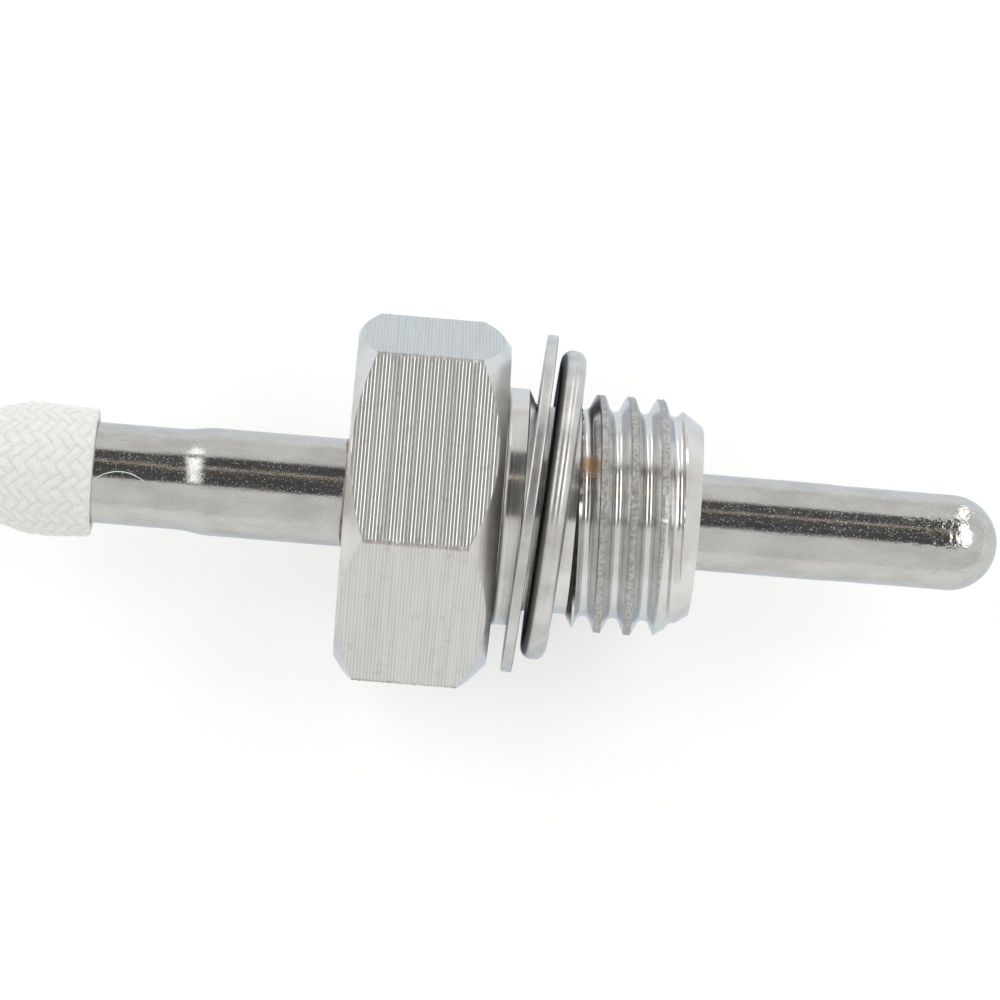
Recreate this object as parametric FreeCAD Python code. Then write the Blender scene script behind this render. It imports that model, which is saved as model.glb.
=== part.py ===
"""Screw-in flame temperature probe: a closed steel sheath brazed through an M12 hexagon fitting.

The probe axis is +X, pointing to the tip. The origin is on the axis, at the hexagon's sealing shoulder.
The probe lies on one flat of its hexagon, with +Z up, and its spare lead lies behind it in a tied hank.
"""
import FreeCAD, Part
import math
import os

# Hexagon fitting, mm
ACROSS_FLATS = 16.65
HEX_LENGTH = 7.6
REAR_FACE_R = 8.15
REAR_CHAMFER = 1.05
FRONT_FACE_R = 7.98
FRONT_CHAMFER = 1.45
COLLAR_R = 5.93
COLLAR_LENGTH = 1.1
COLLAR_FILLET = 0.3
UNDERCUT_START = 1.45

# Thread, M12 x 1.5, right-hand
PITCH = 1.5
CREST_R = 5.93
ROOT_R = 5.15
CREST_FLAT = 0.35
THREAD_START = 3.75
THREAD_END = 9.85
THREAD_PHASE = 0.1
LEAD_CHAMFER = 1.75
LEAD_CHAMFER_R = 4.75

# Sheath and rear tube
STEM_R = 2.425
TIP_R = 2.4
STEM_STEP = 16.2
TIP_END = 25.05
SHEATH_WALL = 0.35
SHEATH_BACK = -13.5
TUBE_R = 2.7
TUBE_WALL = 0.26
TUBE_FRONT = -2.6
CRIMP_START = -14.25
CRIMP_END = -16.0
CRIMP_R = 2.525
TUBE_BACK = -23.0
BRAZE_WIDTH = 0.25
BRAZE_LENGTH = 0.3

# Loose washer and sealing ring
WASHER_R = 8.5
WASHER_THICK = 0.55
WASHER_AT = (1.55, 0.17, 0.23)
RING_R = 7.8
RING_THICK = 1.3
RING_AT = (2.75, 0.26, 0.0)
LOOSE_BORE_R = 6.3
LOOSE_TILT = 3.55

# Thermocouple and its insulation
WIRE_R = 0.25
WIRE_SPACING = 1.5
BEAD_R = 0.55
BEAD_AT = 23.2
INSULATOR_R = 1.8
INSULATOR_LENGTH = 8.4
INSULATOR_GAP = 0.2
INSULATOR_FRONT = 21.6
INSULATOR_COUNT = 4
PLUG_LENGTH = 0.7

# Lead
CORE_R = 0.4
CORE_COVER_R = 0.72
BRAID_MOUTH = -20.2
BRAID_END = -27.5
BRAID_R = 3.2
BRAID_BULGE_R = 3.3
LEAD_R = 2.2

# Route of the lead from the braid's narrow end to the hank, lying on the rest surface from the fifth point
LEAD_ROUTE = [
    (-27.5, 0.0, 0.0),
    (-34.5, 0.0, 0.0),
    (-42.3, 1.2, -1.3),
    (-49.7, 3.8, -3.6),
    (-56.8, 7.3, -5.5),
    (-63.8, 11.5, -6.12),
]

# Hank of spare lead: end loops joined by a tied waist
HANK_AT = -102.0
HANK_HALF = 43.0
HANK_END_R = 19.8
WAIST_HALF = 9.3
WAIST_PAD = 8.5
LAYER = 4.5
TIE_WIDTH = 3.6
TIE_THICK = 1.1
TOP_RUN_FRONT = 17.0
TOP_RUN_BACK = -9.0
COLLAR_TUBE_LENGTH = 7.0
COLLAR_TUBE_R = 2.45
TAIL_LENGTH = 19.0
FERRULE_LENGTH = 6.0

FLOOR = -ACROSS_FLATS / 2
FIT = 0.005
FUSE_TOLERANCE = 0.0001
X_AXIS = FreeCAD.Vector(1, 0, 0)
SIDES = {"positive": 1, "negative": -1}


def vec(x, y=0.0, z=0.0):
    return FreeCAD.Vector(x, y, z)


def turned(profile):
    """Solid of revolution about X from (x, radius) corners."""
    points = [vec(x, 0, r) for x, r in profile]
    face = Part.Face(Part.makePolygon(points + points[:1]))
    return face.revolve(vec(0), X_AXIS, 360)


def rod(radius, start, end, y=0.0, z=0.0):
    return Part.makeCylinder(radius, abs(end - start), vec(min(start, end), y, z), X_AXIS)


def pipe(outer, inner, start, end, y=0.0, z=0.0):
    return rod(outer, start, end, y, z).cut(rod(inner, start - 1, end + 1, y, z))


def hexagon_bar():
    """Bar stock lying on a flat, so that two corners point along Y."""
    corner = ACROSS_FLATS / 2 / math.cos(math.pi / 6)
    points = []
    for k in range(6):
        angle = math.radians(60 * k)
        points.append(vec(-HEX_LENGTH, corner * math.cos(angle), corner * math.sin(angle)))
    face = Part.Face(Part.makePolygon(points + points[:1]))
    return face.extrude(vec(HEX_LENGTH))


def chamfered_hexagon():
    corner = ACROSS_FLATS / 2 / math.cos(math.pi / 6)
    limits = turned([
        (-HEX_LENGTH, 0),
        (-HEX_LENGTH, REAR_FACE_R),
        (-HEX_LENGTH + REAR_CHAMFER, corner),
        (-FRONT_CHAMFER, corner),
        (0, FRONT_FACE_R),
        (0, 0),
    ])
    return hexagon_bar().common(limits)


def spigot():
    """Collar, thread relief and thread core in front of the hexagon."""
    profile = [(-0.5, 0), (-0.5, COLLAR_R + COLLAR_FILLET), (0, COLLAR_R + COLLAR_FILLET)]
    for k in range(1, 6):
        angle = math.radians(18 * k)
        x = COLLAR_FILLET * (1 - math.cos(angle))
        profile.append((x, COLLAR_R + COLLAR_FILLET * (1 - math.sin(angle))))
    profile += [
        (COLLAR_LENGTH, COLLAR_R),
        (UNDERCUT_START, ROOT_R + 0.1),
        (UNDERCUT_START + 0.15, ROOT_R),
    ]
    core_end = THREAD_END - LEAD_CHAMFER * (ROOT_R - LEAD_CHAMFER_R) / (CREST_R - LEAD_CHAMFER_R)
    profile += [(core_end, ROOT_R), (THREAD_END, LEAD_CHAMFER_R), (THREAD_END, 0)]
    return turned(profile)


def thread_ridge():
    """One helical ridge of the thread, trimmed to the relief and to the end chamfer."""
    flank = (CREST_R - ROOT_R) * math.tan(math.pi / 6)
    root_half = CREST_FLAT / 2 + flank
    below = 0.05
    turns = math.ceil((THREAD_END - THREAD_START) / PITCH) + 2
    start = THREAD_PHASE + PITCH * math.floor((THREAD_START - THREAD_PHASE) / PITCH - 1)
    helix = Part.makeHelix(PITCH, PITCH * turns, ROOT_R)
    corners = [
        (ROOT_R - below, -root_half - below),
        (ROOT_R, -root_half),
        (CREST_R, -CREST_FLAT / 2),
        (CREST_R, CREST_FLAT / 2),
        (ROOT_R, root_half),
        (ROOT_R - below, root_half + below),
    ]
    points = [vec(r, 0, z) for r, z in corners]
    profile = Part.makePolygon(points + points[:1])
    ridge = Part.Wire(helix).makePipeShell([profile], True, True)
    # the helix winds about Z from +X; laid along X it starts on +Y
    ridge = ridge.transformGeometry(FreeCAD.Matrix(0, 0, 1, start, 1, 0, 0, 0, 0, 1, 0, 0, 0, 0, 0, 1))
    limits = turned([
        (THREAD_START, 0),
        (THREAD_START, ROOT_R),
        (THREAD_START + 0.45, CREST_R + 0.01),
        (THREAD_END - LEAD_CHAMFER, CREST_R + 0.01),
        (THREAD_END, LEAD_CHAMFER_R),
        (THREAD_END, 0),
    ])
    return ridge.common(limits)


def hex_fitting():
    threaded = spigot().fuse([thread_ridge()], FUSE_TOLERANCE)
    body = chamfered_hexagon().fuse(threaded)
    body = body.cut(rod(STEM_R + FIT, -HEX_LENGTH - 1, THREAD_END + 1))
    body = body.cut(rod(TUBE_R + FIT, -HEX_LENGTH - 1, TUBE_FRONT + FIT))
    return body.removeSplitter()


def probe_sheath():
    """Closed tube, very slightly drawn down in front, with a spherical tip."""
    outer = turned([
        (SHEATH_BACK, 0),
        (SHEATH_BACK, STEM_R),
        (STEM_STEP, STEM_R),
        (STEM_STEP + 1, TIP_R),
        (TIP_END - TIP_R, TIP_R),
        (TIP_END - TIP_R, 0),
    ]).fuse(Part.makeSphere(TIP_R, vec(TIP_END - TIP_R)))
    inner_r = TIP_R - SHEATH_WALL
    hollow = rod(inner_r, SHEATH_BACK - 1, TIP_END - TIP_R)
    hollow = hollow.fuse(Part.makeSphere(inner_r, vec(TIP_END - TIP_R)))
    return outer.cut(hollow).removeSplitter()


def rear_tube():
    outer = [
        (TUBE_FRONT, TUBE_R),
        (CRIMP_START, TUBE_R),
        (CRIMP_END, CRIMP_R),
        (TUBE_BACK, CRIMP_R),
    ]
    inner = [(x, r - TUBE_WALL) for x, r in reversed(outer)]
    return turned(outer + inner)


def braze_ring():
    start = -HEX_LENGTH
    bore = TUBE_R + FIT
    return turned([
        (start, bore),
        (start, bore + BRAZE_WIDTH),
        (start - 0.3 * BRAZE_LENGTH, bore + 0.45 * BRAZE_WIDTH),
        (start - BRAZE_LENGTH, bore + 0.1 * BRAZE_WIDTH),
        (start - BRAZE_LENGTH, bore),
    ])


def leaning(shape, place):
    """Loose rings lean on the thread, their +Y side towards the tip."""
    shape.rotate(vec(0), vec(0, 0, 1), -LOOSE_TILT)
    shape.translate(vec(*place))
    return shape


def flat_washer():
    half = WASHER_THICK / 2
    ring = pipe(WASHER_R, LOOSE_BORE_R, -half, half)
    return leaning(ring.makeChamfer(0.08, ring.Edges), WASHER_AT)


def sealing_ring():
    """Folded crush ring: a rounded box section, fuller on the hexagon's side."""
    half = RING_THICK / 2
    ring = pipe(RING_R, LOOSE_BORE_R, -half, half)
    rear = [e for e in ring.Edges if e.CenterOfMass.x < 0 and e.Closed]
    ring = ring.makeFillet(0.55 * half + 0.25, rear)
    front = [e for e in ring.Edges if abs(e.CenterOfMass.x - half) < 1e-6 and e.Closed]
    return leaning(ring.makeFillet(0.4 * half, front), RING_AT)


def wire_path(side):
    """A straight wire that turns in to the bead over its last millimetre."""
    y = side * WIRE_SPACING / 2
    bend = INSULATOR_FRONT + 0.2
    straight = rod(WIRE_R, SHEATH_BACK - 1.5, bend, y)
    aim = vec(BEAD_AT - bend, -y * 0.7)
    lean = Part.makeCylinder(WIRE_R, aim.Length, vec(bend, y), aim)
    elbow = Part.makeSphere(WIRE_R, vec(bend, y))
    return straight.fuse([lean, elbow])


def hot_junction_bead():
    return Part.makeSphere(BEAD_R, vec(BEAD_AT))


def thermo_wire(side):
    return wire_path(side).cut(hot_junction_bead()).removeSplitter()


def ceramic_insulator(index):
    """Twin-bore ceramic bead."""
    front = INSULATOR_FRONT - index * (INSULATOR_LENGTH + INSULATOR_GAP)
    body = rod(INSULATOR_R, front - INSULATOR_LENGTH, front)
    for side in SIDES.values():
        bore = rod(WIRE_R + 0.05, front - INSULATOR_LENGTH - 1, front + 1, side * WIRE_SPACING / 2)
        body = body.cut(bore)
    return body


def magnesia_fill():
    """Packed powder around the junction, filling the inside of the tip."""
    radius = TIP_R - SHEATH_WALL - FIT
    centre = TIP_END - TIP_R
    fill = rod(radius, INSULATOR_FRONT + FIT, centre).fuse(Part.makeSphere(radius, vec(centre)))
    fill = fill.common(rod(radius, INSULATOR_FRONT + FIT, TIP_END))
    return fill.cut(wire_path(1).fuse(wire_path(-1))).cut(hot_junction_bead()).removeSplitter()


def cement_plug():
    """Cement that closes the back of the sheath around both wires."""
    plug = rod(TIP_R - SHEATH_WALL - FIT, SHEATH_BACK, SHEATH_BACK + PLUG_LENGTH)
    for side in SIDES.values():
        plug = plug.cut(wire_path(side))
    return plug


def splice_barrel(side):
    """Crimp barrel that joins a thermocouple wire to its stranded core."""
    y = side * WIRE_SPACING / 2
    front = SHEATH_BACK - 0.9
    middle = SHEATH_BACK - 1.5
    back = SHEATH_BACK - 4.1
    body = rod(CORE_R + 0.15, back, front, y)
    body = body.cut(rod(WIRE_R, middle, front + 1, y))
    return body.cut(rod(CORE_R, back - 1, middle, y))


def splice_sleeve(side):
    bore = CORE_R + 0.16
    return pipe(CORE_COVER_R, bore, SHEATH_BACK - 4.0, SHEATH_BACK - 0.95, side * WIRE_SPACING / 2)


def core_conductor(side):
    return rod(CORE_R, BRAID_END, SHEATH_BACK - 1.5, side * WIRE_SPACING / 2)


def core_insulation(side):
    return pipe(CORE_COVER_R, CORE_R + FIT, BRAID_END, SHEATH_BACK - 4.2, side * WIRE_SPACING / 2)


def crimp_bush():
    """Soft bush that the crimped tube squeezes onto both cores."""
    start = TUBE_BACK + 0.2
    bush = rod(CRIMP_R - TUBE_WALL - FIT, start, start + 4.2)
    for side in SIDES.values():
        bush = bush.cut(rod(CORE_COVER_R + FIT, start - 1, start + 6, side * WIRE_SPACING / 2))
    return bush


def braid_mouth():
    """End of the glass-fibre braid, stretched over the crimped tube and necking down behind it."""
    outer = [
        (BRAID_MOUTH, BRAID_R),
        (BRAID_MOUTH - 1.0, BRAID_R + 0.03),
        (BRAID_MOUTH - 2.1, BRAID_BULGE_R),
        (BRAID_MOUTH - 3.4, BRAID_BULGE_R - 0.04),
        (BRAID_MOUTH - 5.6, LEAD_R + 0.45),
        (BRAID_END + 0.6, LEAD_R + 0.06),
        (BRAID_END, LEAD_R),
    ]
    inner = [
        (BRAID_END, LEAD_R - 0.7),
        (TUBE_BACK - 1.6, LEAD_R - 0.7),
        (TUBE_BACK - 0.1, CRIMP_R + 0.03),
        (BRAID_MOUTH, CRIMP_R + 0.03),
    ]
    return turned(outer + inner)


def route_wire(points, label):
    """Straight runs joined by tangent arcs, each as large as its two runs allow."""
    points = [vec(*p) for p in points]
    edges = []
    here = points[0]
    for before, corner, after in zip(points, points[1:], points[2:]):
        back = before - corner
        ahead = after - corner
        half_turn = (math.pi - back.getAngle(ahead)) / 2
        cut = 0.45 * min(back.Length, ahead.Length)
        radius = cut / math.tan(half_turn)
        print(label, "bend radius", round(radius, 1))
        start = corner + back.normalize() * cut
        end = corner + ahead.normalize() * cut
        inward = (back + ahead).normalize()
        middle = corner + inward * (radius / math.cos(half_turn) - radius)
        edges.append(Part.LineSegment(here, start).toShape())
        edges.append(Part.Arc(start, middle, end).toShape())
        here = end
    edges.append(Part.LineSegment(here, points[-1]).toShape())
    return Part.Wire(edges)


def tube_along(points, radius, label):
    path = route_wire(points, label)
    aim = vec(*points[1]) - vec(*points[0])
    section = Part.Wire(Part.makeCircle(radius, vec(*points[0]), aim))
    tube = path.makePipeShell([section], True, False)
    print(label, "volume ratio", round(tube.Volume / (math.pi * radius**2 * path.Length), 4))
    return tube


def cable_lead():
    return tube_along(LEAD_ROUTE, LEAD_R, "cable_lead")


def hank_outline(z):
    """Two end loops joined by arcs that draw in to the waist."""
    reach = HANK_HALF - HANK_END_R
    waist = WAIST_HALF
    hollow = (reach**2 + waist**2 - HANK_END_R**2) / (2 * (HANK_END_R - waist))
    lean = math.atan2(waist + hollow, reach)
    touch_x = reach - HANK_END_R * math.cos(lean)
    touch_y = HANK_END_R * math.sin(lean)
    corners = []
    for along, across in ((1, 1), (-1, 1), (-1, -1), (1, -1)):
        corners.append(vec(HANK_AT + along * touch_x, across * touch_y, z))
    edges = []
    for k in (0, 2):
        across = 1 if k == 0 else -1
        waist_mid = vec(HANK_AT, across * waist, z)
        loop_mid = vec(HANK_AT - across * HANK_HALF, 0, z)
        edges.append(Part.Arc(corners[k], waist_mid, corners[k + 1]).toShape())
        edges.append(Part.Arc(corners[k + 1], loop_mid, corners[(k + 2) % 4]).toShape())
    return Part.Face(Part.Wire(edges))


def waist_top():
    return FLOOR + 2 * LEAD_R + LAYER + TIE_THICK


def top_run_height():
    """Centre height of the single run that lies in the groove on top of the two layers."""
    return waist_top() - LEAD_R + math.sqrt(LAYER**2 - (LAYER / 2 + 0.05) ** 2)


def cable_hank():
    """Outer shape of the folded spare lead: two layers, lifted at the waist, and its last run on top."""
    body = hank_outline(FLOOR).extrude(vec(0, 0, 2 * LEAD_R + LAYER))
    lifted = hank_outline(FLOOR).extrude(vec(0, 0, waist_top() - FLOOR))
    waist = Part.makeBox(2 * WAIST_PAD, 2 * HANK_HALF, 40, vec(HANK_AT - WAIST_PAD, -HANK_HALF, FLOOR))
    body = body.fuse(lifted.common(waist))
    run = rod(LEAD_R, HANK_AT + TOP_RUN_BACK, HANK_AT + TOP_RUN_FRONT, 0, top_run_height())
    slot_width = TIE_WIDTH + 1
    slot_from = vec(HANK_AT - slot_width / 2, -2 * WAIST_HALF, FLOOR)
    slot = Part.makeBox(slot_width, 4 * WAIST_HALF, TIE_THICK + 0.1, slot_from)
    return body.fuse(run).cut(slot).removeSplitter()


def tie_loop(grow):
    """Strap outline around the waist: flat below, drawn over the top run."""
    low = FLOOR + TIE_THICK + 0.1 - grow
    side = WAIST_HALF + 0.35 + grow
    shoulder = waist_top() + 0.1 + grow
    crown = top_run_height() + LEAD_R + 0.1 + grow
    outline = [
        (-side, low),
        (side, low),
        (side, shoulder),
        (LEAD_R + 0.6 + grow / 2, crown),
        (-LEAD_R - 0.6 - grow / 2, crown),
        (-side, shoulder),
    ]
    points = [vec(HANK_AT - TIE_WIDTH / 2, y, z) for y, z in outline]
    return Part.Face(Part.makePolygon(points + points[:1])).extrude(vec(TIE_WIDTH))


def hank_tie():
    """Nylon tie with its square head on the side of the bundle."""
    strap = tie_loop(TIE_THICK).cut(tie_loop(0))
    head_size = TIE_WIDTH + 1.6
    head = Part.makeBox(
        head_size,
        2.6,
        4.4,
        vec(HANK_AT - head_size / 2, WAIST_HALF + 0.35 + TIE_THICK, FLOOR + 3.0),
    )
    return strap.fuse(head).removeSplitter()


def end_sleeve():
    """Shrink sleeve that closes the end of the braid."""
    front = HANK_AT + TOP_RUN_BACK
    height = top_run_height()
    sleeve = rod(COLLAR_TUBE_R, front - COLLAR_TUBE_LENGTH, front, 0, height)
    sleeve = sleeve.makeFillet(0.5, [e for e in sleeve.Edges if e.Closed])
    bore_from = front - COLLAR_TUBE_LENGTH - 1
    for side in SIDES.values():
        sleeve = sleeve.cut(rod(CORE_COVER_R + FIT, bore_from, front, side * WIRE_SPACING / 2, height))
    return sleeve


def tail_route(side):
    """Both tails spread a little and settle on the far end loop of the hank."""
    front = HANK_AT + TOP_RUN_BACK - 0.6 * COLLAR_TUBE_LENGTH
    top = top_run_height()
    rest = FLOOR + 2 * LEAD_R + LAYER + CORE_COVER_R + 0.35
    return [
        (front, side * 0.75, top),
        (front - 5.5, side * 0.75, top),
        (front - 11.5, side * 1.7, top - 0.7),
        (front - TAIL_LENGTH, side * 3.9, rest + 0.5),
    ]


def tail_frame(side):
    """End point of a tail and the direction that it points in."""
    route = [vec(*p) for p in tail_route(side)]
    return route[-1], (route[-1] - route[-2]).normalize()


def tail_core(side):
    return tube_along(tail_route(side), CORE_COVER_R, "tail_core")


def ferrule_collar(side):
    """Moulded collar of a bootlace ferrule."""
    end, aim = tail_frame(side)
    collar = Part.makeCone(CORE_COVER_R + 0.55, CORE_COVER_R + 0.15, 3.4, end - aim * 1.6, aim)
    return collar.cut(Part.makeCylinder(CORE_COVER_R + FIT, 1.6, end - aim * 1.6, aim))


def ferrule_pin(side):
    end, aim = tail_frame(side)
    return Part.makeCylinder(CORE_R + 0.12, FERRULE_LENGTH, end + aim * 1.8, aim)


def parts():
    """Every named piece of the probe."""
    made = {
        "hex_fitting": hex_fitting(),
        "probe_sheath": probe_sheath(),
        "rear_tube": rear_tube(),
        "braze_ring": braze_ring(),
        "flat_washer": flat_washer(),
        "sealing_ring": sealing_ring(),
        "hot_junction_bead": hot_junction_bead(),
        "magnesia_fill": magnesia_fill(),
        "cement_plug": cement_plug(),
        "crimp_bush": crimp_bush(),
        "braid_mouth": braid_mouth(),
        "cable_lead": cable_lead(),
        "cable_hank": cable_hank(),
        "hank_tie": hank_tie(),
        "end_sleeve": end_sleeve(),
    }
    for index in range(INSULATOR_COUNT):
        made[f"ceramic_insulator_{index + 1}"] = ceramic_insulator(index)
    for name, side in SIDES.items():
        made[f"thermo_wire_{name}"] = thermo_wire(side)
        made[f"splice_barrel_{name}"] = splice_barrel(side)
        made[f"splice_sleeve_{name}"] = splice_sleeve(side)
        made[f"core_conductor_{name}"] = core_conductor(side)
        made[f"core_insulation_{name}"] = core_insulation(side)
        made[f"tail_core_{name}"] = tail_core(side)
        made[f"ferrule_collar_{name}"] = ferrule_collar(side)
        made[f"ferrule_pin_{name}"] = ferrule_pin(side)
    return made


os.makedirs("parts", exist_ok=True)
for node, shape in parts().items():
    assert shape.isValid(), node
    print(node, len(shape.Solids), round(shape.Volume, 3))
    shape.exportStep(f"parts/{node}.step")
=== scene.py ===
"""Looks of the screw-in flame temperature probe, piece by piece, in the order that it is put together.

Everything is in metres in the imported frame: +X along the probe to its tip, the origin on the axis at the
hexagon's sealing shoulder, and +Z up, with the part lying on one flat of its hexagon.
"""
import math

import bmesh
import bpy
import numpy as np
from mathutils import Matrix, Vector


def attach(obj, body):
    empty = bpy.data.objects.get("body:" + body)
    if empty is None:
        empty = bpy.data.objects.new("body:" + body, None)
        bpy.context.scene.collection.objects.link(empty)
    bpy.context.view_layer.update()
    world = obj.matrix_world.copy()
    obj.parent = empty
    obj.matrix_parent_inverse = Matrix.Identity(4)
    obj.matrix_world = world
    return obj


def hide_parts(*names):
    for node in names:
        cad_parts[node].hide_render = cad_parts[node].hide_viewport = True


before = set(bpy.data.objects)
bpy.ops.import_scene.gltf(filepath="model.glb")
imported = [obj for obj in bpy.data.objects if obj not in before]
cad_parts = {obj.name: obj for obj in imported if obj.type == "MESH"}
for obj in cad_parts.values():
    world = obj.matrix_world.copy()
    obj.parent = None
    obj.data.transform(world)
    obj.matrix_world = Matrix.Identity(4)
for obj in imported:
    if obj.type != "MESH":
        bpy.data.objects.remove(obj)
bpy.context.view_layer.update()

MM = 0.001
SIDES = ("positive", "negative")


# ---- Thermocouple wires and hot junction
# Two drawn nickel-alloy wires, welded together into a bead that sits in the closed tip.
# They run back through the ceramic beads to the splice behind the sheath.
class Signal:
    """One output of a shader node. Arithmetic on it adds Math nodes."""

    def __init__(self, tree, socket=None):
        self.tree = tree
        self.socket = socket

    def add(self, kind, settings=None, inputs=None, output=0):
        """Any node: its settings first, then the values or links of its inputs."""
        node = self.tree.nodes.new("ShaderNode" + kind)
        for name, value in (settings or {}).items():
            setattr(node, name, value)
        for key, value in (inputs or {}).items():
            if isinstance(value, Signal):
                self.tree.links.new(value.socket, node.inputs[key])
            else:
                node.inputs[key].default_value = value
        return Signal(self.tree, node.outputs[output])

    def math(self, operation, *values):
        return self.add("Math", {"operation": operation}, dict(enumerate(values)))

    def __add__(self, other):
        return self.math("ADD", self, other)

    def __sub__(self, other):
        return self.math("SUBTRACT", self, other)

    def __rsub__(self, other):
        return self.math("SUBTRACT", other, self)

    def __mul__(self, other):
        return self.math("MULTIPLY", self, other)

    def __truediv__(self, other):
        return self.math("DIVIDE", self, other)

    def __mod__(self, other):
        return self.math("FLOORED_MODULO", self, other)

    def __pow__(self, other):
        return self.math("POWER", self, other)

    __radd__ = __add__
    __rmul__ = __mul__


def finish(name, paint):
    """A material whose Principled shader takes what paint returns for a place on the piece, in mm."""
    material = bpy.data.materials.new(name)
    material.use_nodes = True
    tree = material.node_tree
    shader = tree.nodes["Principled BSDF"]
    where = Signal(tree).add("TexCoord", output="Object")
    where = where.add("VectorMath", {"operation": "SCALE"}, {0: where, "Scale": 1 / MM})
    for key, value in paint(where).items():
        if isinstance(value, Signal):
            tree.links.new(value.socket, shader.inputs[key])
        else:
            shader.inputs[key].default_value = value
    return material


def dress(material, *names):
    """Gives CAD nodes that stay in view their material."""
    for name in names:
        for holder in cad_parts[name].material_slots:
            holder.material = material


def split(vector):
    return [vector.add("SeparateXYZ", None, {0: vector}, axis) for axis in range(3)]


def stretch(vector, x, y, z):
    return vector.add("VectorMath", {"operation": "MULTIPLY"}, {0: vector, 1: (x, y, z)})


def grain(vector, scale, detail=3.0, roughness=0.55):
    """Noise from 0 to 1, with as many features to a millimetre as its scale says."""
    inputs = {"Vector": vector, "Scale": scale, "Detail": detail, "Roughness": roughness}
    return vector.add("TexNoise", None, inputs)


def span(value, low, high, to_low=0.0, to_high=1.0):
    """A value carried smoothly from one range to another."""
    inputs = {"Value": value, 1: low, 2: high, 3: to_low, 4: to_high}
    return value.add("MapRange", {"interpolation_type": "SMOOTHSTEP"}, inputs)


def tint(amount, low, high):
    """A colour between two, by a value from 0 to 1."""
    colours = [(*c, 1) if isinstance(c, tuple) else c for c in (low, high)]
    return amount.add("Mix", {"data_type": "RGBA"}, {0: amount, 6: colours[0], 7: colours[1]}, 2)


def relief(height, depth_mm, strength=1.0):
    return height.add("Bump", None, {"Height": height, "Distance": depth_mm * MM, "Strength": strength})


def grained(name, scale, detail, colours, rough, depth_mm, metallic=0.0):
    """A plain finish: one fine grain in its colour, its roughness and its relief."""

    def paint(where):
        fine = grain(where, scale, detail)
        return {
            "Base Color": tint(fine, *colours),
            "Metallic": metallic,
            "Roughness": span(fine, *rough),
            "Normal": relief(fine, depth_mm),
        }

    return finish(name, paint)


def drawn_alloy(where):
    lines = grain(stretch(where, 0.4, 12, 12), 3)
    return {
        "Base Color": tint(lines, (0.36, 0.34, 0.30), (0.62, 0.59, 0.53)),
        "Metallic": 1.0,
        "Roughness": span(lines, 0.3, 0.7, 0.25, 0.42),
        "Normal": relief(lines, 0.01),
    }


thermo_alloy = finish("drawn_alloy", drawn_alloy)
dress(thermo_alloy, "hot_junction_bead")
for side in SIDES:
    dress(thermo_alloy, f"thermo_wire_{side}", f"core_conductor_{side}")


# ---- Ceramic insulators
# Four twin-bore beads of fired white ceramic, threaded on the wires end to end.
# They keep the wires apart inside the sheath.
INSULATOR_COUNT = 4


def fired_ceramic(where):
    fine = grain(where, 9, 5)
    spots = grain(where, 2.2)
    return {
        "Base Color": tint(span(spots, 0.42, 0.7), (0.86, 0.84, 0.77), (0.74, 0.70, 0.61)),
        "Roughness": span(fine, 0.3, 0.7, 0.55, 0.75),
        "Normal": relief(fine, 0.02),
    }


ceramic = finish("fired_ceramic", fired_ceramic)
for index in range(INSULATOR_COUNT):
    dress(ceramic, f"ceramic_insulator_{index + 1}")


# ---- Magnesia fill and cement plug
# Dry ceramic powder packed round the bead, and the cement that shuts the back of the sheath.
# Both are white and crumbly, with no gloss.
def packed_powder(where):
    crumbs = grain(where, 6, 6, 0.7)
    return {
        "Base Color": tint(span(crumbs, 0.35, 0.65), (0.76, 0.74, 0.68), (0.90, 0.89, 0.85)),
        "Roughness": 0.92,
        "Normal": relief(crumbs, 0.08),
    }


dress(finish("packed_powder", packed_powder), "magnesia_fill", "cement_plug")


# ---- Probe sheath
# A closed stainless tube with a round end, drawn down very slightly over its front third.
# It is polished, with small pits and handling marks, and brazed into the fitting.
STEM_R = 2.425
TIP_R = 2.4
TIP_END = 25.05
TIP_DIMPLED = (19.0, 22.5)
STEM_STEP = 16.2
STEP_LENGTH = 1.0
SHEATH_WALL = 0.35
SHEATH_BACK = -13.5
OFF_ROUND = 0.006
ROUND_SIDES = 160
# painted reflection: a blue-grey specular tint on the steel, for cool light reflected from the surroundings
PAINTED_COOL_REFLECTION = (0.78, 0.85, 0.93, 1)


def arc(centre_x, centre_r, radius, start, end, steps):
    """Profile points (x, radius) on an arc, in degrees from +X towards the outside."""
    turns = np.radians(np.linspace(start, end, steps + 1))
    return [(centre_x + radius * math.cos(a), centre_r + radius * math.sin(a)) for a in turns]


def skin(name, points, weld=0.0001, crease=32):
    """Welded quads over rows of points in mm, each row running once round the piece."""
    rows, columns, _ = points.shape
    mesh = bpy.data.meshes.new(name)
    first = (np.arange(rows - 1)[:, None] * columns + np.arange(columns - 1)).ravel()
    faces = np.stack([first, first + 1, first + columns + 1, first + columns], axis=1)
    mesh.from_pydata((points.reshape(-1, 3) * MM).tolist(), [], faces.tolist())
    shape = bmesh.new()
    shape.from_mesh(mesh)
    bmesh.ops.remove_doubles(shape, verts=shape.verts, dist=weld * MM)
    bmesh.ops.recalc_face_normals(shape, faces=shape.faces)
    shape.to_mesh(mesh)
    shape.free()
    mesh.shade_smooth()
    mesh.set_sharp_from_angle(angle=math.radians(crease))
    return mesh


def around(sides):
    """Angles of the columns, from +Y towards +Z, once round and back to the first."""
    return np.linspace(0, 2 * math.pi, sides + 1)


def ring_points(x, radius, angles):
    return np.stack([x + 0 * angles, radius * np.cos(angles), radius * np.sin(angles)], axis=-1)


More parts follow.
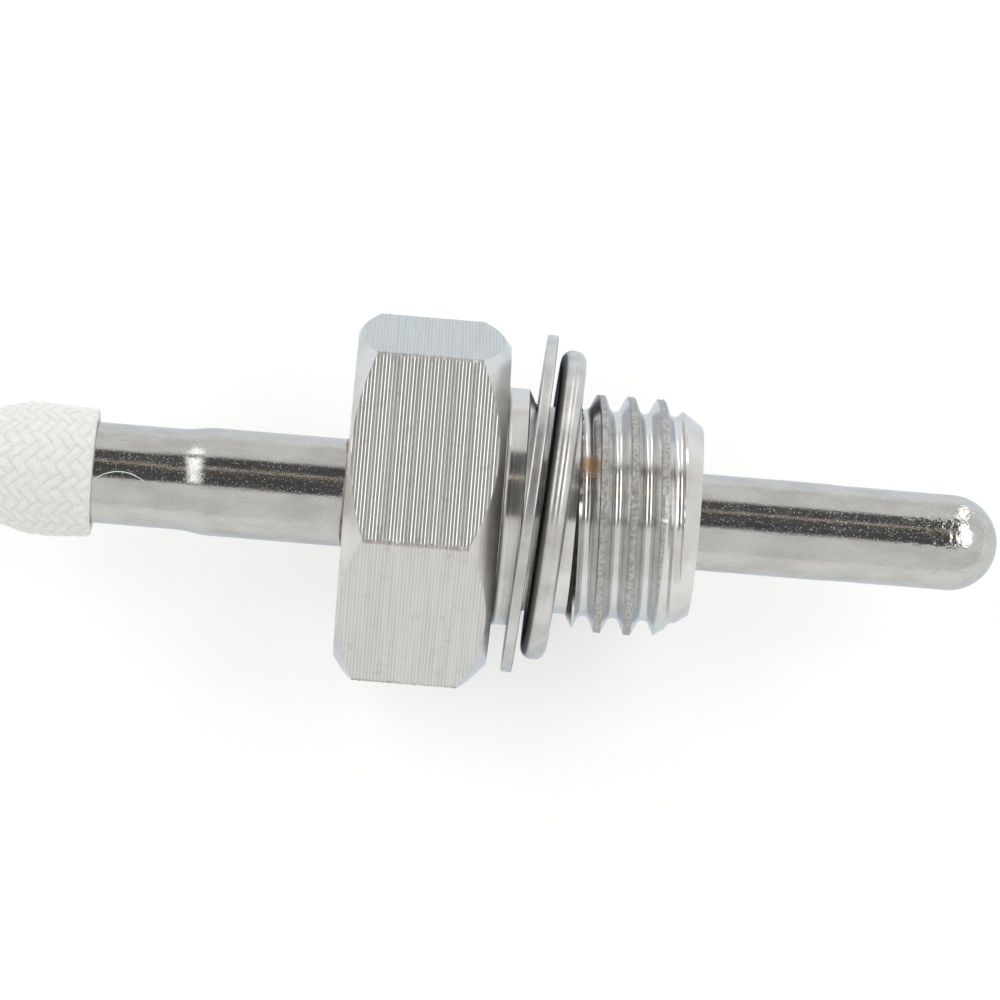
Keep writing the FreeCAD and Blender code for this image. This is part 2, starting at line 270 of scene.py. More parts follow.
def lathe(name, profile, sides=ROUND_SIDES, vary=None, crease=32):
    """Surface turned about X. A profile that comes back to its start closes a ring."""
    angles = around(sides)
    x, radius = np.array(profile, float).T
    x = x[:, None] + 0 * angles
    radius = radius[:, None] + 0 * angles
    if vary:
        x, radius = vary(x, radius, angles)
    return skin(name, ring_points(x, radius, angles), crease=crease)


def rows_along(start, end, radius_start, radius_end, count):
    """Evenly spaced profile points between two ends, without the last one."""
    steps = np.arange(count) / count
    return [(start + (end - start) * t, radius_start + (radius_end - radius_start) * t) for t in steps]


def eased(value, start, end):
    """0 before start, 1 after end, and a smooth step between."""
    share = min(max((value - start) / (end - start), 0.0), 1.0)
    return (1 - math.cos(math.pi * share)) / 2


def neck(start, end, radius_start, radius_end, steps):
    """Profile points of a smooth change from one radius to another."""
    change = radius_end - radius_start
    stations = np.linspace(start, end, steps + 1)
    return [(x, radius_start + change * eased(x, start, end)) for x in stations]


def show(name, mesh, material):
    """Gives a mesh its finish and puts it in the scene."""
    mesh.materials.append(material)
    made = bpy.data.objects.new(name, mesh)
    bpy.context.scene.collection.objects.link(made)
    return made


def fit_piece(name, mesh, material, body, slot, *nodes):
    """Puts a finished mesh on its body, in place of the CAD nodes that it stands for, if any."""
    made = show(name, mesh, material)
    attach(made, body)
    if nodes:
        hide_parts(*nodes)
    return made


def polished_tube(where):
    x = split(where)[0]
    die_lines = grain(stretch(where, 0.22, 5, 5), 1.3, 3)
    marks = grain(stretch(where, 1.2, 3, 3), 2.0, 6, 0.7)
    pits = where.add("TexVoronoi", {"feature": "F1"}, {"Vector": where, "Scale": 7.0, "Randomness": 1.0})
    pit = span(pits + marks * 0.5, 0.36, 0.62, 1.0, 0.0)
    smear = grain(stretch(where, 0.35, 0.8, 0.8), 1.3, 3)
    dimples = grain(where, 1.9, 2) * span(x, *TIP_DIMPLED)
    tone = tint(span(smear, 0.35, 0.7), (0.53, 0.525, 0.51), (0.455, 0.445, 0.425))
    tone = tint(span(marks, 0.62, 0.72) * 0.6, tone, (0.66, 0.66, 0.65))
    tone = tint(span(marks, 0.30, 0.40, 1.0, 0.0) * 0.5, tone, (0.34, 0.32, 0.295))
    return {
        "Base Color": tint(pit * 0.25, tone, (0.66, 0.66, 0.64)),
        "Metallic": 1.0,
        "Roughness": span(die_lines + marks * 0.6, 0.55, 1.05, 0.09, 0.18) + pit * 0.22,
        "Normal": relief(die_lines * 0.25 + marks * 0.5 + dimples * 6.0, 0.010),
        # painted reflection: blue-grey specular tint
        "Specular Tint": PAINTED_COOL_REFLECTION,
    }


tube_polish = finish("polished_tube", polished_tube)
tip_centre = TIP_END - TIP_R
sheath_profile = arc(tip_centre, 0, TIP_R, 0, 90, 24)
sheath_profile += rows_along(tip_centre, STEM_STEP + STEP_LENGTH, TIP_R, TIP_R, 12)[1:]
sheath_profile += neck(STEM_STEP + STEP_LENGTH, STEM_STEP, TIP_R, STEM_R, 4)
sheath_profile += rows_along(STEM_STEP, SHEATH_BACK, STEM_R, STEM_R, 30)[1:]
inside_r = TIP_R - SHEATH_WALL
sheath_profile += [(SHEATH_BACK, STEM_R), (SHEATH_BACK, inside_r), (tip_centre, inside_r)]
sheath_profile += arc(tip_centre, 0, inside_r, 90, 0, 12)[1:]


def hand_drawn(x, radius, angles):
    """Drawn tube is a few thousandths of a millimetre off round and straight."""
    outside = radius > TIP_R - SHEATH_WALL / 2
    wave = OFF_ROUND * np.sin(0.9 * x + 1.3) * np.cos(2 * angles + 0.4 * x)
    return x, radius + wave * outside


sheath = lathe("probe_sheath_shell", sheath_profile, vary=hand_drawn)
fit_piece("probe_sheath_shell", sheath, tube_polish, "probe", "sheath_steel", "probe_sheath")


# ---- Splice barrels
# Two short tinned barrels, each crimped over one wire and the stranded core that takes it onward.
# The tin is bright, with the dull ovals of the crimping tool.
tin_colours = ((0.60, 0.60, 0.58), (0.83, 0.83, 0.81))
tin = grained("bright_tin", 7, 4, tin_colours, (0.35, 0.7, 0.2, 0.4), 0.015, 1.0)
for side in SIDES:
    dress(tin, f"splice_barrel_{side}")


# ---- Splice sleeves and core insulation
# Lacquered glass-fibre lapping over each core, and a short sleeve of the same over each splice.
# The yarn is wound on at a steep angle and glued down by the lacquer.
LAPS_PER_MM = 2.2
LAP_SLANT = 0.6


def lapped_glass(where):
    x, y, z = split(where)
    turns = ((x * LAPS_PER_MM + (z + y) * LAP_SLANT) % 1.0 - 0.5) * 2.0
    ridge = 1.0 - turns * turns
    fine = grain(where, 8, 4)
    return {
        # painted shade: darker and yellower in the valleys between laps
        "Base Color": tint(ridge * 0.7 + fine * 0.3, (0.64, 0.61, 0.52), (0.90, 0.89, 0.84)),
        "Roughness": span(fine, 0.3, 0.7, 0.35, 0.55),
        "Normal": relief(ridge, 0.05),
    }


lapping = finish("lapped_glass", lapped_glass)
for side in SIDES:
    dress(lapping, f"splice_sleeve_{side}", f"core_insulation_{side}")


# ---- Crimp bush
# A soft red-brown bush round both cores. The crimped end of the rear tube squeezes it tight.
bush_colours = ((0.26, 0.10, 0.06), (0.40, 0.19, 0.13))
dress(grained("moulded_bush", 5, 5, bush_colours, (0.3, 0.7, 0.5, 0.68), 0.02), "crimp_bush")


# ---- Rear tube
# The same polished stainless as the sheath, one size up. It covers the splices, is brazed into the
# back of the fitting, and its open end is pressed down a little on the bush.
TUBE_R = 2.7
TUBE_WALL = 0.26
TUBE_FRONT = -2.6
CRIMP_START = -14.25
CRIMP_END = -16.0
CRIMP_R = 2.525
TUBE_BACK = -23.0
CRIMP_DENT = 0.022
CRIMP_JAWS = 8

rear_outer = rows_along(TUBE_FRONT, CRIMP_START, TUBE_R, TUBE_R, 24)
rear_outer += neck(CRIMP_START, CRIMP_END, TUBE_R, CRIMP_R, 16)
rear_outer += rows_along(CRIMP_END, TUBE_BACK, CRIMP_R, CRIMP_R, 14)[1:]
rear_outer += [(TUBE_BACK, CRIMP_R)]
rear_inner = [(x, radius - TUBE_WALL) for x, radius in reversed(rear_outer)]


def pressed(x, radius, angles):
    """The crimp leaves shallow flats round the tube, deepest in the middle of its length."""
    near = np.exp(-(((x - CRIMP_END + 0.2) / 0.7) ** 2))
    return x, radius - CRIMP_DENT * near * (1 + np.cos(CRIMP_JAWS * angles + 0.6)) / 2


rear = lathe("rear_tube_shell", rear_outer + rear_inner + rear_outer[:1], vary=pressed)
fit_piece("rear_tube_shell", rear, tube_polish, "probe", "tube_steel", "rear_tube")


# ---- Hexagon fitting
# Stainless hexagon bar, turned down and threaded M12 x 1.5 right-hand. Its flats keep the straight
# marks of the mill, and the turned faces, the collar and the thread keep fine rings from the lathe.
ACROSS_FLATS = 16.65
HEX_LENGTH = 7.6
REAR_FACE_R = 8.15
REAR_CHAMFER = 1.05
FRONT_FACE_R = 7.98
FRONT_CHAMFER = 1.45
COLLAR_R = 5.93
COLLAR_LENGTH = 1.1
COLLAR_FILLET = 0.3
UNDERCUT_START = 1.45
PITCH = 1.5
CREST_R = 5.93
ROOT_R = 5.15
CREST_FLAT = 0.35
ROOT_ROUND = 0.33
THREAD_START = 3.75
THREAD_END = 9.85
THREAD_PHASE = 0.1
THREAD_TURNS = 8
LEAD_CHAMFER = 1.75
LEAD_CHAMFER_R = 4.75
SEAT_GAP = 0.005
GROOVE_PITCH = 0.17
GROOVE_DEPTH = 0.0055
VEE_START = 0.70
VEE_DEEPEST = 0.85
BURR = 0.014
CORNER_WEAR = 0.035
CREST_NICK = 0.012
STAIN_AT = (4.3, 0.95, 5.05)
SECTOR = math.pi / 3
CORNER_R = ACROSS_FLATS / 2 / math.cos(SECTOR / 2)

dice = np.random.default_rng(12)
near_corner = [0, 0.35, 0.8]
over_flat = list(np.arange(2.0, 58.6, 1.49))
sector_angles = near_corner + over_flat + [60 - a for a in reversed(near_corner[1:])]
fitting_angles = np.radians([60 * k + a for k in range(6) for a in sector_angles] + [360])
columns = len(fitting_angles)
from_flat = np.abs(fitting_angles % SECTOR - SECTOR / 2)
hex_radius = ACROSS_FLATS / 2 / np.cos(from_flat)
hex_radius -= CORNER_WEAR * np.exp(-(((SECTOR / 2 - from_flat) / math.radians(0.45)) ** 2))
rear_edge = -HEX_LENGTH + (hex_radius - REAR_FACE_R) * REAR_CHAMFER / (CORNER_R - REAR_FACE_R)
front_edge = -(hex_radius - FRONT_FACE_R) * FRONT_CHAMFER / (CORNER_R - FRONT_FACE_R)

fitting_rows = []


def turned_row(x, radius):
    fitting_rows.append((np.full(columns, float(x)), np.full(columns, float(radius))))


def chamfer_rows(face_x, face_r, edge_x, shares):
    """Rows over a chamfer, by their share of the way from its turned face to the edge of the flats."""
    for t in shares:
        fitting_rows.append((face_x + (edge_x - face_x) * t, face_r + (hex_radius - face_r) * t))


bore_r = TUBE_R + SEAT_GAP
for radius in np.linspace(bore_r, REAR_FACE_R, 12)[:-1]:
    turned_row(-HEX_LENGTH, radius)
chamfer_rows(-HEX_LENGTH, REAR_FACE_R, rear_edge, np.linspace(0, 1, 5))

# flats: each cutter mark is a land and a narrow vee of uneven depth; the milled edges carry a burr
groove_count = round(HEX_LENGTH / GROOVE_PITCH)
corner_weight = np.exp(-(((SECTOR / 2 - from_flat) / math.radians(0.5)) ** 2))
for k in range(groove_count):
    depth = GROOVE_DEPTH * (0.8 + 0.5 * dice.random())
    lean = depth * 0.25 * (dice.random() - 0.5)
    burr = BURR * dice.standard_normal(4) * (dice.random() > 0.3)
    vee = ((0.0, 0.0), (VEE_START, lean), (VEE_DEEPEST, depth), (0.999, 0.0))
    for part, (share, drop) in enumerate(vee):
        station = -HEX_LENGTH + HEX_LENGTH * (k + share) / groove_count
        inside = (station > rear_edge) & (station < front_edge)
        cut = drop / np.cos(from_flat) - burr[part] * corner_weight
        fitting_rows.append((np.clip(station, rear_edge, front_edge), hex_radius - cut * inside))
chamfer_rows(0, FRONT_FACE_R, front_edge, np.linspace(1, 0, 7))
for radius in np.linspace(FRONT_FACE_R, COLLAR_R + COLLAR_FILLET, 7)[1:]:
    turned_row(0, radius)
collar_rows = arc(COLLAR_FILLET, COLLAR_R + COLLAR_FILLET, COLLAR_FILLET, 190, 270, 8)
collar_rows += [
    (COLLAR_LENGTH - 0.25, COLLAR_R),
    (COLLAR_LENGTH - 0.03, COLLAR_R),
    (COLLAR_LENGTH + 0.03, COLLAR_R - 0.04),
    (UNDERCUT_START, ROOT_R + 0.1),
    (UNDERCUT_START + 0.15, ROOT_R),
    (THREAD_START, ROOT_R),
]
for x, radius in collar_rows:
    turned_row(x, radius)

# thread: one ridge per pitch, with flat crests, 60 degree flanks and a rounded root
flank_slope = math.sqrt(3)
half_ridge = [(0.0, CREST_R), (CREST_FLAT / 2 - 0.035, CREST_R), (CREST_FLAT / 2 + 0.025, CREST_R - 0.05)]
half_ridge += arc(PITCH / 2, ROOT_R + ROOT_ROUND, ROOT_ROUND, 210, 260, 5)
half_ridge.insert(3, tuple((a + b) / 2 for a, b in zip(half_ridge[2], half_ridge[3])))
ridge = [(-x, radius) for x, radius in reversed(half_ridge[1:])] + half_ridge + [(PITCH / 2, ROOT_R)]
ridge_x, ridge_r = np.array([(-PITCH / 2, ROOT_R)] + ridge).T
crest_nicks = CREST_NICK * dice.standard_normal((THREAD_TURNS * len(ridge), columns))
for number, nicks in enumerate(crest_nicks):
    turn, corner = divmod(number, len(ridge))
    helix = THREAD_PHASE + PITCH * (turn + fitting_angles / (2 * math.pi))
    x = np.clip(helix + ridge[corner][0], THREAD_START, THREAD_END)
    across = (x - THREAD_PHASE - PITCH * fitting_angles / (2 * math.pi) + PITCH / 2) % PITCH - PITCH / 2
    radius = np.interp(across, ridge_x, ridge_r)
    worn = np.clip((radius - CREST_R) / 0.06 + 1, 0, 1) * nicks
    worn[-1] = worn[0] = 0
    run_in = ROOT_R + (x - THREAD_START) * flank_slope
    run_out = CREST_R - (x - THREAD_END + LEAD_CHAMFER) * (CREST_R - LEAD_CHAMFER_R) / LEAD_CHAMFER
    fitting_rows.append((x, np.minimum(np.minimum(radius + worn, run_in), run_out)))
turned_row(THREAD_END, LEAD_CHAMFER_R)

stem_bore_r = STEM_R + SEAT_GAP
for x, radius in (
    (THREAD_END, 4.0),
    (THREAD_END, stem_bore_r),
    (TUBE_FRONT, stem_bore_r),
    (TUBE_FRONT, bore_r),
    (-HEX_LENGTH, bore_r),
):
    turned_row(x, radius)
fitting_points = np.stack([ring_points(x, radius, fitting_angles) for x, radius in fitting_rows])


def machined_steel(where):
    """Mill marks on the flats with a painted highlight in each vee, lathe rings elsewhere, worn corners and
    crests, and one rusty stain.
    """
    x, y, z = split(where)
    off_axis = (y * y + z * z) ** 0.5
    aside = y * math.cos(SECTOR / 2)
    reach_front = x.math("ABSOLUTE", z * 0.5 - aside)
    reach_back = x.math("ABSOLUTE", z * 0.5 + aside)
    reach = x.math("MAXIMUM", x.math("MAXIMUM", reach_front, reach_back), x.math("ABSOLUTE", z))
    flats = span(reach, ACROSS_FLATS / 2 - 0.055, ACROSS_FLATS / 2 - 0.02) * span(x, -0.04, -0.02, 1.0, 0.0)
    share = ((x + HEX_LENGTH) * (groove_count / HEX_LENGTH)) % 1.0
    vee = span(x.math("ABSOLUTE", share - VEE_DEEPEST), 0.08, 0.16, 1.0, 0.0)
    lathe_rings = where.add("CombineXYZ", None, {0: x * 6.0, 1: off_axis * 6.0, 2: 0.0})
    rings = grain(lathe_rings, 2.0, 5, 0.65)
    streaks = grain(stretch(where, 5, 0.16, 0.16), 1.1, 2, 0.5)
    smear = grain(where, 0.55, 4)
    speck = grain(where, 6.5, 2)
    scuff = grain(where, 1.6, 5, 0.7)
    threaded = span(x, UNDERCUT_START + 0.05, UNDERCUT_START + 0.15)
    crest = span(off_axis, CREST_R - 0.07, CREST_R - 0.02) * threaded
    tone = tint(span(smear, 0.38, 0.72), (0.66, 0.655, 0.64), (0.58, 0.55, 0.515))
    milled = tint(span(streaks, 0.3, 0.7), (0.50, 0.50, 0.485), (0.57, 0.57, 0.56))
    tone = tint(flats, tone, milled)
    # painted highlight: each mill vee is lighter, for the bright lines that the grooves catch
    tone = tint(vee * flats * 0.8, tone, (0.68, 0.68, 0.67))
    tone = tint(span(scuff, 0.56, 0.70) * flats * 0.45, tone, (0.40, 0.385, 0.365))
    rubbed = tint(span(speck, 0.4, 0.62), (0.47, 0.46, 0.445), (0.30, 0.29, 0.275))
    tone = tint(crest * 0.9, tone, rubbed)
    worn = span(off_axis + scuff * 0.12 + speck * 0.06, 9.60, 9.68) * flats
    tone = tint(worn * 0.7, tone, (0.33, 0.28, 0.24))
    stain_from = where.add("VectorMath", {"operation": "DISTANCE"}, {0: where, 1: STAIN_AT}, 1)
    stain = span(stain_from + grain(where, 3.0) * 0.5, 0.45, 1.05, 1.0, 0.0)
    stain = stain * span(off_axis, 5.5, 5.7, 1.0, 0.0)
    rough = span(rings, 0.3, 0.75, 0.13, 0.27) * (1.0 - flats) + flats * 0.35
    return {
        "Base Color": tint(stain * 0.8, tone, (0.50, 0.29, 0.10)),
        "Metallic": 1.0 - stain * 0.5,
        "Roughness": rough + crest * 0.25 + stain * 0.3 + worn * 0.2,
        "Normal": relief(rings * (1.0 - flats) * 0.5 + speck * crest * 1.6 + worn * scuff, 0.012),
        # painted reflection: blue-grey specular tint
        "Specular Tint": PAINTED_COOL_REFLECTION,
    }


# the low crease angle keeps both walls of each vee flat
fitting = skin("threaded_fitting", fitting_points, weld=0.0004, crease=11.5)
steel = finish("machined_steel", machined_steel)
fit_piece("threaded_fitting", fitting, steel, "probe", "fitting_steel", "hex_fitting")


# ---- Braze ring
# The thin fillet that the braze leaves where the rear tube goes into the fitting.
# It is heat-tinted brown and slightly lumpy.
BRAZE_WIDTH = 0.10
BRAZE_LENGTH = 0.16


def flowed(x, radius, angles):
    """Braze runs out unevenly round the joint."""
    run = 1 + 0.25 * np.sin(3 * angles + 0.5) + 0.12 * np.sin(7 * angles + 2)
    return -HEX_LENGTH + (x + HEX_LENGTH) * run, TUBE_R + (radius - TUBE_R) * run


def heat_tinted(where):
    blotch = grain(where, 1.6, 4)
    fine = grain(where, 9, 3)
    return {
        "Base Color": tint(span(blotch, 0.35, 0.65), (0.13, 0.10, 0.075), (0.30, 0.25, 0.20)),
        "Metallic": 0.8,
        "Roughness": span(fine, 0.3, 0.7, 0.3, 0.5),
        "Normal": relief(fine, 0.02),
    }


braze_back = -HEX_LENGTH - BRAZE_LENGTH
braze_profile = [(-HEX_LENGTH + 0.02, TUBE_R + BRAZE_WIDTH)]
braze_profile += arc(braze_back, TUBE_R + BRAZE_WIDTH, BRAZE_WIDTH, 0, -90, 6)
braze_profile += [(braze_back, TUBE_R - 0.01), (-HEX_LENGTH + 0.02, TUBE_R - 0.01)]
braze = lathe("braze_fillet", braze_profile + braze_profile[:1], vary=flowed)
braze_tint = finish("heat_tinted_braze", heat_tinted)
fit_piece("braze_fillet", braze, braze_tint, "probe", "braze", "braze_ring")


# ---- Loose washer
# A thin stamped stainless washer, loose on the thread and leaning on it.
# Its rim is satin from tumbling, with edges just rounded.
WASHER_R = 8.5
WASHER_THICK = 0.55
WASHER_EDGE = 0.09
WASHER_AT = (1.55, 0.17, 0.23)
LOOSE_BORE_R = 6.3
LOOSE_TILT = 3.55
RING_SIDES = 240


def loose_ring(name, profile, centre):
    """A ring that leans on the thread, its +Y side towards the tip."""
    mesh = lathe(name, profile + profile[:1], RING_SIDES, crease=60)
    lean = Matrix.Rotation(-math.radians(LOOSE_TILT), 4, "Z")
    mesh.transform(Matrix.Translation(Vector(centre) * MM) @ lean)
    return mesh


def satin_ring(name, centre, gap_shade_from, gap_shade_to):
    """Satin steel, with painted shade on the side that faces the other ring, for the dark gap between them.
    """

    def paint(where):
        x, y, z = split(where)
        turn = math.radians(LOOSE_TILT)
        ahead = x - centre[0]
        aside = y - centre[1]
        above = z - centre[2]
        station = ahead * math.cos(turn) - aside * math.sin(turn)
        sideways = ahead * math.sin(turn) + aside * math.cos(turn)
        off_axis = (sideways * sideways + above * above) ** 0.5
        painted_gap_shade = span(station, gap_shade_from, gap_shade_to)
        across = where.add("CombineXYZ", None, {0: station * 7.0, 1: off_axis * 7.0, 2: 0.0})
        streaks = grain(across, 1.2, 2, 0.5)
        fine = grain(where, 6, 2, 0.5)
        smear = grain(where, 0.7, 4)
        tone = tint(span(smear, 0.35, 0.7), (0.60, 0.59, 0.575), (0.49, 0.475, 0.455))
        return {
            # painted shade: near black on the face towards the other ring, for the dark gap between washer
            # and ring
            "Base Color": tint(painted_gap_shade * 0.82, tone, (0.13, 0.125, 0.12)),
            "Metallic": 1.0,
            "Roughness": span(fine, 0.3, 0.7, 0.29, 0.35),
            "Normal": relief(streaks * 0.4, 0.006),
            # painted reflection: blue-grey specular tint
            "Specular Tint": PAINTED_COOL_REFLECTION,
        }

    return finish(name, paint)


side_x = WASHER_THICK / 2
soft = WASHER_EDGE
washer_profile = arc(side_x - soft, WASHER_R - soft, soft, 0, 90, 4)
washer_profile += arc(soft - side_x, WASHER_R - soft, soft, 90, 180, 4)
washer_profile += rows_along(-side_x, -side_x, WASHER_R - soft, LOOSE_BORE_R + soft, 8)[1:]
washer_profile += arc(soft - side_x, LOOSE_BORE_R + soft, soft, 180, 270, 4)
washer_profile += arc(side_x - soft, LOOSE_BORE_R + soft, soft, 270, 360, 4)
washer_profile += rows_along(side_x, side_x, LOOSE_BORE_R + soft, WASHER_R - soft, 8)[1:]
washer_mesh = loose_ring("loose_washer", washer_profile, WASHER_AT)
washer_steel = satin_ring("satin_washer", WASHER_AT, 0.20, 0.27)
fit_piece("loose_washer", washer_mesh, washer_steel, "washer", "washer_steel", "flat_washer")


# ---- Sealing ring
# A crush ring folded from sheet steel, soft and rounded in section, with the fold's seam showing as a
# shallow line round it. It leans beside the washer, free on the thread.
RING_R = 7.8
RING_THICK = 1.3
RING_AT = (2.75, 0.26, 0.0)
ROUNDNESS = 2.25
SECTION_POINTS = 64
SEAM_AT = 0.12
SEAM_DEPTH = 0.035

ring_profile = []
for turn in around(SECTION_POINTS)[:-1]:
    c, s = math.cos(turn), math.sin(turn)
    x = RING_THICK / 2 * math.copysign(abs(c) ** (2 / ROUNDNESS), c)
    swell = (RING_R - LOOSE_BORE_R) / 2 * math.copysign(abs(s) ** (2 / ROUNDNESS), s)
    seam = SEAM_DEPTH * math.exp(-(((x - SEAM_AT) / 0.07) ** 2)) if s > 0 else 0.0
    ring_profile.append((x, (RING_R + LOOSE_BORE_R) / 2 + swell - seam))
ring_mesh = loose_ring("crush_ring", ring_profile, RING_AT)
ring_steel = satin_ring("satin_crush_ring", RING_AT, -0.08, -0.62)
fit_piece("crush_ring", ring_mesh, ring_steel, "seal", "seal_steel", "sealing_ring")


# ---- Braid mouth
# White glass-fibre braid in a herringbone of flat yarns, pushed over the crimped tube so that it swells
# there, and cut square. Behind the tube it draws in to the size of the lead.
BRAID_MOUTH = -20.2
BRAID_END = -27.5
BRAID_R = 3.2
BRAID_BULGE_R = 3.3
LEAD_R = 2.2
SLACK = 0.06
YARN_ROWS = 28
PICK = 0.67
YARN_HEIGHT = 0.07
YARN_DIP = 0.75
SWAY = 0.3
SWAY_ROUND = 3
SWAY_ALONG = 0.55
FILAMENTS = 17.0
CUT_ROUND = 0.08
MOUTH_ROWS = 148
EASE_ROWS = 9
PLAIN = {"SINE": np.sin, "FLOOR": np.floor, "LESS_THAN": np.less, "MAXIMUM": np.maximum, "SQRT": np.sqrt}


def number_math(operation, *values):
    """What a Math node does, on plain numbers."""
    return PLAIN[operation](*values)


def weave(turn_share, along, wander, work):
    """A two-over, two-under braid: place across the upper yarn, from -1 to 1, and height, from 0 to 1."""
    sway = work("SINE", turn_share * (2 * math.pi * SWAY_ROUND) + along * SWAY_ALONG) * SWAY
    one = along / PICK + turn_share * YARN_ROWS + sway + wander
    other = along / PICK - turn_share * YARN_ROWS + sway - wander
    over_one = (other - work("FLOOR", one) + 1.0) % 4.0
    over_other = (one - work("FLOOR", other) - 2.0) % 4.0
    on_top = work("LESS_THAN", over_one, 2.0)
    across = ((one % 1.0) * on_top + (other % 1.0) * (1.0 - on_top)) * 2.0 - 1.0
    lie = over_one * on_top + over_other * (1.0 - on_top) - 1.0
    round_yarn = work("SQRT", work("MAXIMUM", 1.0 - across * across, 0.0))
    return across, round_yarn * (1.0 - (lie * lie) ** 2.0 * YARN_DIP)


def braid_paint(turn_share, along, where):
    """The braid as a finish, with the filaments of each yarn and painted shade where the weave dips."""
    across, height = weave(turn_share, along, (grain(where, 1.6, 3) - 0.5) * 0.6, where.math)
    threads = where.math("SINE", across * FILAMENTS) * 0.5 + 0.5
    loose = grain(where, 2.6, 5)
    glow = grain(where, 0.45, 3)
    # painted shade: yarns darker where the weave dips, for the shade in the hollows between them
    tone = tint(span(height, 0.0, 0.7), (0.64, 0.63, 0.595), (0.72, 0.72, 0.70))
    tone = tint(threads * span(loose, 0.35, 0.65) * 0.6, tone, (0.64, 0.635, 0.61))
    fuzz = grain(where, 7.5, 4, 0.7)
    tone = tint(span(fuzz, 0.42, 0.62) * 0.6, tone, (0.80, 0.80, 0.785))
    return {
        "Base Color": tint(span(glow, 0.45, 0.75) * 0.3, tone, (0.70, 0.68, 0.61)),
        "Roughness": span(loose, 0.3, 0.7, 0.42, 0.62),
        "Normal": relief(height * 0.7 + threads * 0.15 + loose * 0.8 + fuzz * 0.5, 0.045),
        "Sheen Weight": 0.25,
        "Sheen Roughness": 0.4,
        "Subsurface Weight": 0.12,
        "Subsurface Radius": (1.0, 1.0, 0.9),
        "Subsurface Scale": 0.0008,
    }


def mouth_braid(where):
    x, y, z = split(where)
    turn_share = (z.math("ARCTAN2", z, y) / (2 * math.pi) + 1.0) % 1.0
    looks = braid_paint(turn_share, BRAID_END - x, where)
    # painted highlight: a thin light band along the cut end of the braid
    cut_edge_highlight = span(x, BRAID_MOUTH - 0.07, BRAID_MOUTH - 0.02)
    looks["Base Color"] = tint(cut_edge_highlight, looks["Base Color"], (0.80, 0.80, 0.78))
    return looks


mouth_shape = [
    (BRAID_MOUTH, BRAID_R),
    (BRAID_MOUTH - 1.0, BRAID_R + 0.03),
    (BRAID_MOUTH - 2.1, BRAID_BULGE_R),
    (BRAID_MOUTH - 3.4, BRAID_BULGE_R - 0.04),
    (BRAID_MOUTH - 5.6, LEAD_R + 0.45),
    (BRAID_END + 0.6, LEAD_R + 0.06),
    (BRAID_END, LEAD_R),
]
mouth_angles = around(14 * YARN_ROWS)
outer_x = np.linspace(BRAID_MOUTH, BRAID_END, MOUTH_ROWS)
outer_r = np.interp(outer_x, *np.array(mouth_shape[::-1]).T)
kernel = np.hanning(2 * EASE_ROWS + 1)
outer_r = np.convolve(np.pad(outer_r, EASE_ROWS, mode="edge"), kernel / kernel.sum(), mode="valid")
fade = np.clip((outer_x - BRAID_END) / 1.2, 0.0, 1.0)
mouth_rows = []
for x, radius, strength in zip(outer_x, outer_r, fade):
    _, height = weave(mouth_angles / (2 * math.pi) % 1.0, BRAID_END - x, 0.0, number_math)
    slack = 0.03 * np.sin(3 * mouth_angles + 0.7 * x) + 0.02 * np.sin(5 * mouth_angles - x)
    edge = CUT_ROUND * math.exp(-(((x - BRAID_MOUTH) / CUT_ROUND) ** 2))
    lift = (YARN_HEIGHT * (height - 0.55) + slack - edge) * strength
    mouth_rows.append(ring_points(x, radius + lift, mouth_angles))
for x, radius in (
    (BRAID_END, LEAD_R - 0.7),
    (TUBE_BACK - 1.6, LEAD_R - 0.7),
    (TUBE_BACK - 0.1, CRIMP_R + 0.03),
    (BRAID_MOUTH - 0.1, CRIMP_R + 0.04),
    (BRAID_MOUTH, CRIMP_R + 0.18),
    (BRAID_MOUTH + 0.03, BRAID_R - 0.32),
):
    mouth_rows.append(ring_points(x, radius, mouth_angles))
mouth_rows.append(mouth_rows[0])
mouth_mesh = skin("braid_mouth_weave", np.stack(mouth_rows), crease=75)
glass_yarn = finish("glass_braid_mouth", mouth_braid)
fit_piece("braid_mouth_weave", mouth_mesh, glass_yarn, "probe", "glass_braid", "braid_mouth")

# one filament has come loose at the cut and lies over the tube in a bow
FILAMENT_R = 0.022
FILAMENT_LENGTH = 2.85
FILAMENT_TOP = 103.7
FILAMENT_BOW = 12.6
FILAMENT_LEAN = 1.0
filament_rows = []
spokes = around(8)
for u in np.linspace(0, 1, 41):
    turn = math.radians(FILAMENT_TOP + FILAMENT_BOW * (2 * u - 1) ** 2 - FILAMENT_LEAN * (2 * u - 1))
    off_tube = CRIMP_R + FILAMENT_R + 0.10 * math.sin(math.pi * u) + 0.15 * (1 - u) ** 4
    thick = FILAMENT_R * min(1.0, 12 * (1 - u))
    x = BRAID_MOUTH - 0.05 + FILAMENT_LENGTH * u + 0 * spokes
    high = off_tube + thick * np.cos(spokes)
    aside = thick * np.sin(spokes)
    y = high * math.cos(turn) - aside * math.sin(turn)
    z = high * math.sin(turn) + aside * math.cos(turn)
    filament_rows.append(np.stack([x, y, z], axis=-1))


def bare_glass(where):
    fine = grain(where, 6, 3)
    return {"Base Color": tint(fine, (0.66, 0.66, 0.64), (0.82, 0.82, 0.80)), "Roughness": 0.35}


filament = skin("loose_filament", np.stack(filament_rows), crease=80)
fit_piece("loose_filament", filament, finish("bare_glass", bare_glass), "probe", "glass_braid")


